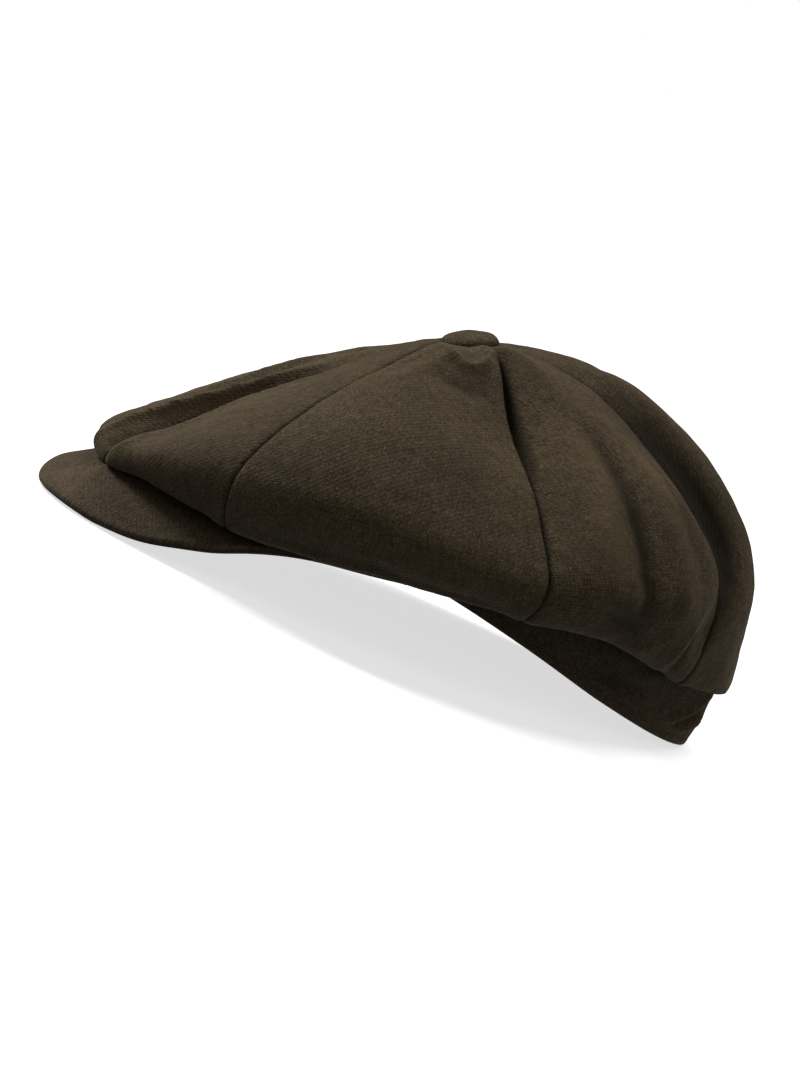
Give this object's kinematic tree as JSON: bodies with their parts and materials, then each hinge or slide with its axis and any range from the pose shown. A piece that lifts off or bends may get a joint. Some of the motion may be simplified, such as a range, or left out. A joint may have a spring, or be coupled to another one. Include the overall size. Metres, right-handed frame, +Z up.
{
  "type": "baker boy cap",
  "caption": "Soft cap with a full panelled crown that meets at a covered button, a narrow band round the head and a short curved peak.",
  "frame": {"origin": "middle of the cap's footprint, on the surface it rests on", "axes": "+Z up, -Y out past the tip of the peak, +X toward the wearer's left"},
  "size_m": [0.2536, 0.2732, 0.117],
  "materials": {
    "crown_cloth": "matte",
    "band_cloth": "matte",
    "peak_cloth": "matte",
    "button_cloth": "matte"
  },
  "bodies": {
    "root": {"crown_panel_front_left": "crown_cloth", "crown_panel_side_front_left": "crown_cloth", "crown_panel_side_back_left": "crown_cloth", "crown_panel_back_left": "crown_cloth", "crown_panel_back_right": "crown_cloth", "crown_panel_side_back_right": "crown_cloth", "crown_panel_side_front_right": "crown_cloth", "crown_panel_front_right": "crown_cloth", "band": "band_cloth", "peak_under": "peak_cloth", "peak_top": "peak_cloth", "button": "button_cloth"}
  },
  "joints": []
}
